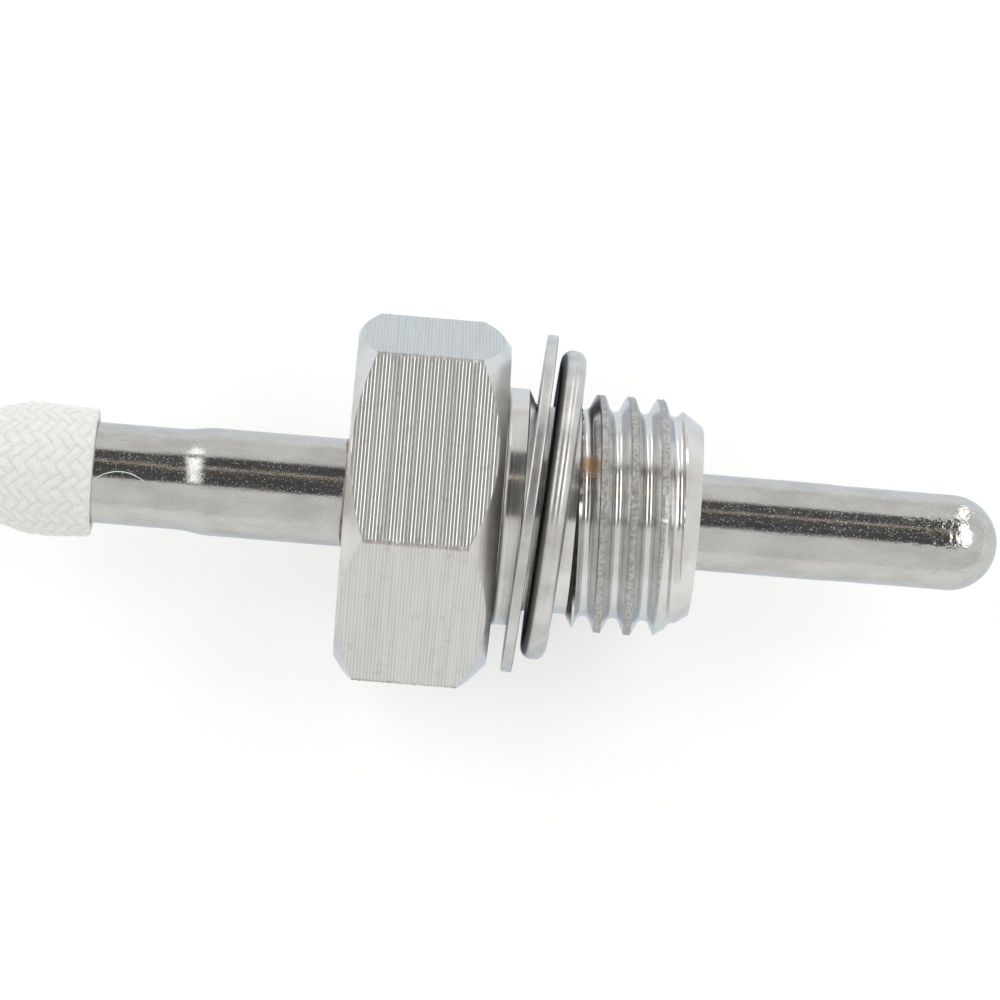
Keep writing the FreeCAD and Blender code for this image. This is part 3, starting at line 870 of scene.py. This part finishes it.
# ---- Lead
# About one metre of the same braid over two cores. It drops from the fitting to the bench, and its spare
# length is folded into a flat hank of two layers, with the last run on top through the tie.
FLOOR = -ACROSS_FLATS / 2
LEAD_ROUTE = [
    (-27.5, 0.0, 0.0),
    (-34.5, 0.0, 0.0),
    (-42.3, 1.2, -1.3),
    (-49.7, 3.8, -3.6),
    (-56.8, 7.3, -5.5),
    (-63.8, 11.5, -6.12),
]
HANK_AT = -102.0
LOBE_AT = 23.2
LOBE_R = 17.6
WAIST_Y = 6.9
TRACK_STEP = 4.4
WAIST_STEP = 4.6
LAYER = 4.5
TIE_THICK = 1.1
LOBE_POINTS = 16
WAIST_POINTS = 4
TURN_POINTS = 2 * (LOBE_POINTS + WAIST_POINTS)
HANK_FROM = 12
HANK_TO = 178
CORD_SIDES = 32
SLEEVE_FRONT = -111.0
TOP_RUN_Z = FLOOR + LEAD_R + LAYER + TIE_THICK + math.sqrt(LAYER**2 - (LAYER / 2 + 0.05) ** 2)


def hank_spot(station, lobe_r, waist_y):
    """Plan position on a turn: lobes joined by arcs that draw in to the waist, counter-clockwise."""
    pull = (LOBE_AT**2 + waist_y**2 - lobe_r**2) / (2 * (lobe_r - waist_y))
    lean = math.atan2(waist_y + pull, LOBE_AT)
    half_turn, step = divmod(station % TURN_POINTS, TURN_POINTS / 2)
    flip = 1 if half_turn == 0 else -1
    if step < LOBE_POINTS:
        angle = (math.pi - lean) * (2 * step / LOBE_POINTS - 1)
        x = LOBE_AT + lobe_r * math.cos(angle)
        y = lobe_r * math.sin(angle)
    else:
        angle = -lean - (math.pi - 2 * lean) * (step - LOBE_POINTS) / WAIST_POINTS
        x = pull * math.cos(angle)
        y = waist_y + pull + pull * math.sin(angle)
    return HANK_AT + flip * x, flip * y


def hank_point(station):
    """Centre of the lead at a station: which track it lies in, and on which layer."""
    inward = eased(station, 44.5, 50) - eased(station, 124.5, 130) + eased(station, 164, 170)
    centred = eased(station, 168, 172)
    lobe_r = LOBE_R - TRACK_STEP * inward
    waist_y = (WAIST_Y - WAIST_STEP * inward) * (1 - centred)
    x, y = hank_spot(station, lobe_r, waist_y)
    level = LAYER * (eased(station, 81.5, 85.5) + eased(station, 160.5, 165.5))
    z = FLOOR + LEAD_R + level + TIE_THICK * eased(-abs(x - HANK_AT), -14, -7)
    if centred > 0.5:
        z += (TOP_RUN_Z - z) * eased(station, 173, 178)
    return x, y, z


route = list(LEAD_ROUTE)
route += [hank_point(station) for station in range(HANK_FROM, HANK_TO + 1)]
route += [(SLEEVE_FRONT + past, 0.0, TOP_RUN_Z) for past in (4.5, 0.0, -4.2)]


def smooth_line(name, points, resolution):
    """Points in mm read off a NURBS line that has the route's points as its control points."""
    curve = bpy.data.curves.new(name, "CURVE")
    curve.dimensions = "3D"
    line = curve.splines.new("NURBS")
    line.points.add(len(points) - 1)
    for control, point in zip(line.points, points):
        control.co = (*(Vector(point) * MM), 1)
    line.order_u = 3
    line.use_endpoint_u = True
    line.resolution_u = resolution
    carrier = bpy.data.objects.new(name, curve)
    read = bpy.data.meshes.new_from_object(carrier)
    found = np.array([v.co for v in read.vertices]) / MM
    bpy.data.meshes.remove(read)
    bpy.data.objects.remove(carrier)
    bpy.data.curves.remove(curve)
    return found


def even_steps(points, step):
    """The same line with its points a fixed distance apart."""
    gaps = np.linalg.norm(np.diff(points, axis=0), axis=1)
    reached = np.concatenate([[0], np.cumsum(gaps)])
    wanted = np.linspace(0, reached[-1], round(reached[-1] / step) + 1)
    return np.stack([np.interp(wanted, reached, points[:, k]) for k in range(3)], axis=1), wanted


def hose(name, line, reached, radius, sides, vary=None):
    """Closed tube along a line, with a UV map: once round by length in mm."""
    aim = np.gradient(line, axis=0)
    aim /= np.linalg.norm(aim, axis=1)[:, None]
    side = np.cross((0.0, 0.0, 1.0), aim[0])
    side /= np.linalg.norm(side)
    rings = []
    angles = around(sides)
    for number, (centre, ahead) in enumerate(zip(line, aim)):
        side = side - ahead * side.dot(ahead)
        side /= np.linalg.norm(side)
        up = np.cross(ahead, side)
        size = radius + (vary(reached[number], angles) if vary else 0.0) + 0 * angles
        spokes = np.outer(np.cos(angles), side) + np.outer(np.sin(angles), up)
        rings.append(centre + size[:, None] * spokes)
    rows = len(rings)
    points = np.stack(rings)[:, :-1].reshape(-1, 3)
    column = np.arange(sides)
    row = np.arange(rows - 1)[:, None] * sides
    here = row + column
    beside = row + (column + 1) % sides
    faces = np.stack([here, beside, beside + sides, here + sides], axis=-1).reshape(-1, 4).tolist()
    faces += [list(range(sides))[::-1], list(range((rows - 1) * sides, rows * sides))]
    mesh = bpy.data.meshes.new(name)
    mesh.from_pydata((points * MM).tolist(), [], faces)
    uv = np.zeros((rows - 1, sides, 4, 2))
    uv[..., 0] = (column[:, None] + (0, 1, 1, 0)) / sides
    uv[..., :2, 1] = reached[:-1, None, None]
    uv[..., 2:, 1] = reached[1:, None, None]
    flat = np.zeros((len(mesh.loops), 2))
    flat[: uv.size // 2] = uv.reshape(-1, 2)
    mesh.uv_layers.new(name="wrap").data.foreach_set("uv", flat.ravel())
    mesh.shade_smooth()
    mesh.set_sharp_from_angle(angle=math.radians(60))
    return mesh


def slack_braid(reached, angles):
    """The braid is never quite round: it gives a little where it bends and lies."""
    return SLACK * (0.45 * np.sin(0.21 * reached) + 0.55 * np.cos(2 * angles + 0.13 * reached))


def lead_braid(where):
    wrap = where.add("UVMap", {"uv_map": "wrap"})
    turn_share, along, _ = split(wrap)
    return braid_paint(turn_share % 1.0, along, where)


lead_line, lead_reached = even_steps(smooth_line("lead_route", route, 10), 0.6)
lead_mesh = hose("braided_lead", lead_line, lead_reached, LEAD_R - SLACK, CORD_SIDES, slack_braid)
lead_yarn = finish("glass_braid", lead_braid)
lead = fit_piece("braided_lead", lead_mesh, lead_yarn, "probe", "glass_braid", "cable_lead", "cable_hank")


# ---- Hank tie
# A natural nylon strap round the waist of the hank, pulled snug over the top run.
# Its square head sits on the side of the bundle, with the strap's end cut off short.
TIE_WIDTH = 3.6
WAIST_HALF = 9.3
tie_low = FLOOR + TIE_THICK + 0.1
tie_side = WAIST_HALF + 0.35
waist_top = FLOOR + 2 * LEAD_R + LAYER + TIE_THICK
tie_corners = [
    (-tie_side, tie_low),
    (tie_side, tie_low),
    (tie_side, waist_top + 0.1),
    (LEAD_R + 0.6, TOP_RUN_Z + LEAD_R + 0.1),
    (-LEAD_R - 0.6, TOP_RUN_Z + LEAD_R + 0.1),
    (-tie_side, waist_top + 0.1),
]


def rounded_loop(corners, radius, steps):
    """Closed outline whose corners are rounded, as pairs of a point and its outward direction."""
    loop = []
    for before, corner, after in zip([corners[-1]] + corners[:-1], corners, corners[1:] + corners[:1]):
        corner = Vector(corner)
        back = (Vector(before) - corner).normalized()
        ahead = (Vector(after) - corner).normalized()
        half_angle = back.angle(ahead) / 2
        centre = corner + (back + ahead).normalized() * radius / math.sin(half_angle)
        first = corner + back * radius / math.tan(half_angle) - centre
        last = corner + ahead * radius / math.tan(half_angle) - centre
        for k in range(steps + 1):
            spoke = first.slerp(last, k / steps).normalized()
            loop.append((centre + spoke * radius, spoke))
    return loop


def moulded_nylon(where):
    fine = grain(where, 6, 4)
    cloud = grain(where, 0.5, 3)
    return {
        "Base Color": tint(span(cloud, 0.35, 0.65), (0.78, 0.77, 0.70), (0.86, 0.85, 0.80)),
        "Roughness": span(fine, 0.3, 0.7, 0.32, 0.46),
        "Normal": relief(fine, 0.02),
        "Subsurface Weight": 0.25,
        "Subsurface Radius": (1.0, 0.95, 0.8),
        "Subsurface Scale": 0.001,
    }


under_edge = [(-0.5, 0.12), (-0.44, 0.0), (0.44, 0.0), (0.5, 0.12)]
over_edge = [(0.5, 0.85), (0.44, 1.0), (-0.44, 1.0), (-0.5, 0.85)]
strap_section = np.array(under_edge + over_edge + under_edge[:1]) * (TIE_WIDTH, TIE_THICK)
loop = rounded_loop(tie_corners, 1.6, 8)
strap_rows = []
for point, spoke in loop + loop[:1]:
    outward = [point + spoke * lift for _, lift in strap_section]
    strap_rows.append([(HANK_AT + x, *spot) for (x, _), spot in zip(strap_section, outward)])
tie_mesh = skin("hank_strap", np.array(strap_rows), crease=40)

HEAD_SIZE = TIE_WIDTH + 1.6
HEAD_DEEP = 2.6
HEAD_TALL = 4.4
HEAD_ABOVE = 3.0


def bevelled_box(size, centre, bevel):
    """A moulded block with rounded edges, in mm."""
    block = bmesh.new()
    bmesh.ops.create_cube(block, size=1.0, matrix=Matrix.Diagonal((*size, 1)))
    bmesh.ops.bevel(block, geom=block.edges[:], offset=bevel, segments=3, affect="EDGES", profile=0.6)
    bmesh.ops.translate(block, verts=block.verts, vec=centre)
    bmesh.ops.scale(block, verts=block.verts, vec=(MM, MM, MM))
    return block


def join_blocks(mesh, blocks):
    """Adds closed blocks to a mesh as separate shells."""
    whole = bmesh.new()
    whole.from_mesh(mesh)
    for block in blocks:
        extra = bpy.data.meshes.new("block")
        block.to_mesh(extra)
        block.free()
        whole.from_mesh(extra)
        bpy.data.meshes.remove(extra)
    whole.to_mesh(mesh)
    whole.free()
    mesh.shade_smooth()
    mesh.set_sharp_from_angle(angle=math.radians(40))


# the head is a frame of two bars and two posts, with the strap's end and the pawl inside
head_at = Vector((HANK_AT, tie_side + TIE_THICK + HEAD_DEEP / 2, FLOOR + HEAD_ABOVE + HEAD_TALL / 2))
bar = (HEAD_SIZE, HEAD_DEEP - 0.4, 0.9)
post = (0.8, HEAD_DEEP - 0.4, HEAD_TALL)
bar_z = (HEAD_TALL - bar[2]) / 2
post_x = (HEAD_SIZE - post[0]) / 2
join_blocks(tie_mesh, [
    bevelled_box(bar, head_at + Vector((0, 0, bar_z)), 0.25),
    bevelled_box(bar, head_at - Vector((0, 0, bar_z)), 0.25),
    bevelled_box(post, head_at - Vector((post_x, 0, 0)), 0.25),
    bevelled_box(post, head_at + Vector((post_x, 0, 0)), 0.25),
    bevelled_box((TIE_WIDTH - 0.1, HEAD_DEEP + 0.5, 1.0), head_at + Vector((0, 0.35, 0.5)), 0.15),
    bevelled_box((TIE_WIDTH - 0.6, HEAD_DEEP - 0.8, 0.8), head_at + Vector((0, -0.1, -0.75)), 0.2),
])
nylon = finish("moulded_nylon", moulded_nylon)
tie = fit_piece("hank_strap", tie_mesh, nylon, "probe", "tie_nylon", "hank_tie")


# ---- End sleeve
# Black shrink sleeve over the end of the braid, shrunk down so that it shows the yarns a little.
# Both tails come out of its far end.
SLEEVE_LENGTH = 7.0
SLEEVE_R = 2.45


def shrunk(x, radius, angles):
    """Shrink tube follows what it covers."""
    outside = radius > 1.2
    ripple = 0.03 * np.sin(2 * math.pi * x / 1.3) + 0.025 * np.sin(9 * angles + 1.7 * x)
    return x, radius + ripple * outside


sleeve_back = SLEEVE_FRONT - SLEEVE_LENGTH
sleeve_profile = [(SLEEVE_FRONT, 0.0), (SLEEVE_FRONT, SLEEVE_R - 0.3)]
sleeve_profile += arc(SLEEVE_FRONT - 0.25, SLEEVE_R - 0.25, 0.25, 0, 90, 4)
sleeve_profile += rows_along(SLEEVE_FRONT - 0.3, sleeve_back + 1.4, SLEEVE_R, SLEEVE_R - 0.1, 26)[1:]
sleeve_profile += rows_along(sleeve_back + 1.4, sleeve_back + 0.25, SLEEVE_R - 0.1, 1.95, 8)
sleeve_profile += arc(sleeve_back + 0.25, 1.7, 0.25, 90, 180, 4)
sleeve_profile += [(sleeve_back + 0.3, 1.4), (sleeve_back + 0.5, 0.0)]
sleeve_mesh = lathe("shrink_sleeve_end", sleeve_profile, 72, vary=shrunk, crease=50)
sleeve_mesh.transform(Matrix.Translation((0, 0, TOP_RUN_Z * MM)))
film_colours = ((0.018, 0.018, 0.019), (0.05, 0.05, 0.052))
film = grained("shrink_film", 4, 5, film_colours, (0.3, 0.7, 0.34, 0.5), 0.03)
sleeve_end = fit_piece("shrink_sleeve_end", sleeve_mesh, film, "probe", "shrink_sleeve", "end_sleeve")


# ---- Tails
# The two cores come out of the sleeve in their own lacquered glass braids, one green and one white,
# spread a little, and settle on the far loop of the hank.
CORE_COVER_R = 0.72
TAIL_LENGTH = 19.0
TAIL_COLOURS = {
    "positive": ((0.05, 0.15, 0.07), (0.12, 0.30, 0.14)),
    "negative": ((0.62, 0.60, 0.53), (0.88, 0.87, 0.83)),
}
tail_front = SLEEVE_FRONT - 0.6 * SLEEVE_LENGTH
tail_rest = FLOOR + 2 * LEAD_R + LAYER + CORE_COVER_R + 0.35
tail_ends = {}


def lacquered_braid(colours):
    def paint(where):
        wrap = where.add("UVMap", {"uv_map": "wrap"})
        turn_share, along, _ = split(wrap)
        one = ((turn_share * 6.0 + along * 0.9) % 1.0) * 2.0 - 1.0
        other = ((turn_share * 6.0 - along * 0.9 + 40.0) % 1.0) * 2.0 - 1.0
        height = (1.0 - one * one).math("MAXIMUM", 1.0 - one * one, 1.0 - other * other)
        fine = grain(where, 5, 4)
        return {
            # painted shade: darker where neither yarn is up, in the hollows of the braid
            "Base Color": tint(span(height, 0.3, 1.0) * 0.8 + fine * 0.2, *colours),
            "Roughness": span(fine, 0.3, 0.7, 0.3, 0.48),
            "Normal": relief(height, 0.05),
            "Coat Weight": 0.2,
        }

    return paint


for name, turn in zip(SIDES, (1, -1)):
    tail_route = [
        (tail_front, turn * 0.75, TOP_RUN_Z),
        (tail_front - 5.5, turn * 0.75, TOP_RUN_Z),
        (tail_front - 11.5, turn * 1.7, TOP_RUN_Z - 0.7),
        (tail_front - TAIL_LENGTH, turn * 3.9, tail_rest + 0.5),
    ]
    tail_line, tail_reached = even_steps(smooth_line("tail_route", tail_route, 16), 0.25)
    tail_mesh = hose("tail_braid_" + name, tail_line, tail_reached, CORE_COVER_R, CORD_SIDES)
    colour = finish("lacquered_braid_" + name, lacquered_braid(TAIL_COLOURS[name]))
    made = fit_piece("tail_braid_" + name, tail_mesh, colour, "probe", "tail_" + name, "tail_core_" + name)
    tip = Vector(tail_route[-1])
    tail_ends[name] = (tip, (tip - Vector(tail_route[-2])).normalized())


# ---- Ferrules
# Each tail ends in a bootlace ferrule: a pale moulded collar and a tinned copper pin, squeezed in
# rows by the crimping pliers.
CORE_R = 0.4
FERRULE_LENGTH = 6.0
FERRULE_COLLAR = 3.4
FERRULE_SIDES = 48


def squeezed(x, radius, angles):
    """Crimped pins are squared off, in short steps."""
    pressed_on = (radius > 0.45) & (x > 1.0) & (x < 5.2)
    steps = 0.5 + 0.5 * np.sign(np.sin(2 * math.pi * x / 1.0))
    return x, radius - pressed_on * (0.03 + 0.03 * steps) * (1 - np.cos(4 * angles)) / 2


def aimed(mesh, end, aim, offset):
    """Turns a piece made along +X onto a tail, offset along it in mm."""
    turn = Vector((1, 0, 0)).rotation_difference(aim).to_matrix().to_4x4()
    mesh.transform(Matrix.Translation((end + aim * offset) * MM) @ turn)
    return mesh


collar_colours = ((0.66, 0.66, 0.63), (0.76, 0.76, 0.73))
collar_plastic = grained("moulded_collar", 5, 3, collar_colours, (0.3, 0.7, 0.22, 0.36), 0.015)
collar_big = CORE_COVER_R + 0.55
collar_small = CORE_COVER_R + 0.15
collar_profile = [(1.6, 0.0), (1.6, CORE_COVER_R + 0.005)]
collar_profile += [(0.0, CORE_COVER_R + 0.02), (-0.02, collar_big - 0.12)]
collar_profile += arc(0.12, collar_big - 0.12, 0.12, 180, 90, 4)
collar_profile += rows_along(0.3, FERRULE_COLLAR - 0.2, collar_big - 0.01, collar_small, 10)
collar_profile += arc(FERRULE_COLLAR - 0.2, collar_small - 0.2, 0.2, 90, 0, 4)
collar_profile += [(FERRULE_COLLAR, 0.0)]
pin_r = CORE_R + 0.12
pin_profile = [(0.0, 0.0), (0.0, pin_r)]
pin_profile += rows_along(0.0, FERRULE_LENGTH - 0.1, pin_r, pin_r, 60)[1:]
pin_profile += [(FERRULE_LENGTH - 0.08, pin_r - 0.02), (FERRULE_LENGTH, pin_r - 0.08)]
pin_profile += [(FERRULE_LENGTH, CORE_R - 0.08), (FERRULE_LENGTH - 0.25, CORE_R - 0.1)]
pin_profile += [(FERRULE_LENGTH - 0.2, 0.0)]
for name in SIDES:
    end, aim = tail_ends[name]
    title = "ferrule_collar_body_" + name
    slot = "ferrule_collar_" + name
    collar = aimed(lathe(title, collar_profile, FERRULE_SIDES), end, aim, -1.6)
    fit_piece(title, collar, collar_plastic, "probe", slot, slot)
    title = "ferrule_pin_body_" + name
    pin = aimed(lathe(title, pin_profile, FERRULE_SIDES, vary=squeezed), end, aim, 1.8)
    fit_piece(title, pin, tin, "probe", "tinned_copper", "ferrule_pin_" + name)


# ---- Bench and light
# A plain white bench in a light tent: a dark panel overhead round the lens, white panels on both sides
# of it, and a bright screen behind. The probe lies on the bench.
BENCH_SIDE = 4.0
BENCH_TOP = FLOOR * MM - 0.00002
TENT_FRONT = -0.225
PANEL_HEIGHT = 0.45
PANEL_LEFT = -0.172
PANEL_RIGHT = 0.160
PANEL_OUTER = 0.55
PANEL_FRONT = -0.18
PANEL_BACK = 0.33
LENS_BACK = 0.355
BAR_BACK = 0.42
GAP_FRONT = 0.088
GAP_BACK = 0.098
SCREEN_AT = 0.46
SCREEN_OUTER = 0.33
STACK = 0.005
SEAM = 0.004
DARK = (0.075, 0.075, 0.078)
WHITE = (1.0, 1.0, 0.99)
TAN = (1.0, 0.86, 0.62)


def sheet(name, low, high, material, seen):
    """A level or upright rectangle between two corners."""
    mesh = bpy.data.meshes.new(name)
    corners = [low, (high[0], low[1], low[2]), high, (low[0], high[1], high[2])]
    mesh.from_pydata(corners, [], [(0, 1, 2, 3)])
    made = show(name, mesh, material)
    made.visible_camera = seen


def card(name, low, high, colour, glow):
    """A panel that is seen only as light and in reflections."""

    def paint(where):
        return {
            "Base Color": (*colour, 1),
            "Roughness": 0.9,
            "Emission Color": (*colour, 1),
            "Emission Strength": glow,
        }

    sheet(name, low, high, finish(name, paint), False)


def white_bench(where):
    """Matt white, a little cooler towards the back screen."""
    y = split(where)[1]
    return {
        "Base Color": tint(span(y, -10.0, 40.0), (0.45, 0.45, 0.44), (0.43, 0.45, 0.46)),
        "Roughness": 0.9,
        "Specular IOR Level": 0.0,
        "Emission Color": (1.0, 1.0, 1.0, 1),
        "Emission Strength": 0.57,
    }


bench_low = (-BENCH_SIDE, -BENCH_SIDE, BENCH_TOP)
bench_high = (BENCH_SIDE, BENCH_SIDE, BENCH_TOP)
sheet("bench", bench_low, bench_high, finish("white_bench", white_bench), True)
lens_low = (PANEL_LEFT, TENT_FRONT, PANEL_HEIGHT)
card("lens_panel", lens_low, (PANEL_RIGHT, LENS_BACK, PANEL_HEIGHT), DARK, 0.0)
gap_z = PANEL_HEIGHT - STACK
card("panel_gap", (PANEL_LEFT, GAP_FRONT, gap_z), (PANEL_RIGHT, GAP_BACK, gap_z), TAN, 1.0)
wings = [("left", -PANEL_OUTER, PANEL_LEFT - SEAM), ("right", PANEL_RIGHT + SEAM, PANEL_OUTER)]
for name, low, high in wings:
    card(name + "_front_bar", (low, TENT_FRONT, PANEL_HEIGHT), (high, PANEL_FRONT, PANEL_HEIGHT), DARK, 0.0)
    card(name + "_back_bar", (low, PANEL_BACK, PANEL_HEIGHT), (high, BAR_BACK, PANEL_HEIGHT), DARK, 0.0)
    panel_z = PANEL_HEIGHT + STACK
    card(name + "_panel", (low, PANEL_FRONT, panel_z), (high, PANEL_BACK, panel_z), WHITE, 1.6)
    screen_low = (max(low, -SCREEN_OUTER), SCREEN_AT, 0.0)
    card(name + "_screen", screen_low, (min(high, SCREEN_OUTER), SCREEN_AT, PANEL_HEIGHT), WHITE, 1.35)

world = bpy.data.worlds.new("tent")
world.use_nodes = True
sky = world.node_tree.nodes["Background"]
sky.inputs["Color"].default_value = (1.0, 0.995, 0.975, 1)
sky.inputs["Strength"].default_value = 0.93
scene = bpy.context.scene
scene.world = world
scene.view_settings.view_transform = "Standard"


# ---- Camera
# A long lens above the probe and a little behind its hexagon.
VIEW_TILT = math.radians(4.716)
VIEW_HEIGHT = math.radians(73.4)
VIEW_SWING = math.radians(1.2)
VIEW_DISTANCE = 0.245
VIEW_WIDTH = 0.050
SENSOR = 36.0
AIM_ALONG = 0.07
AIM_UP = 0.277

toward = Vector((
    -math.sin(VIEW_SWING),
    -math.cos(VIEW_HEIGHT) * math.cos(VIEW_SWING),
    math.sin(VIEW_HEIGHT) * math.cos(VIEW_SWING),
))
upward = Vector((0, math.sin(VIEW_HEIGHT), math.cos(VIEW_HEIGHT)))
right = Vector((math.cos(VIEW_TILT), 0, 0)) + upward * math.sin(VIEW_TILT)
right = (right - toward * right.dot(toward)).normalized()
top = toward.cross(right)
target = Vector((AIM_ALONG * MM, 0, 0)) + upward * AIM_UP * MM
lens = bpy.data.cameras.new("camera")
lens.sensor_width = SENSOR
lens.lens = SENSOR * VIEW_DISTANCE / VIEW_WIDTH
lens.clip_start = 0.01
lens.clip_end = 20.0
camera = bpy.data.objects.new("camera", lens)
facing = Matrix((right, top, toward)).transposed().to_4x4()
camera.matrix_world = Matrix.Translation(target + toward * VIEW_DISTANCE) @ facing
scene.collection.objects.link(camera)
scene.camera = camera
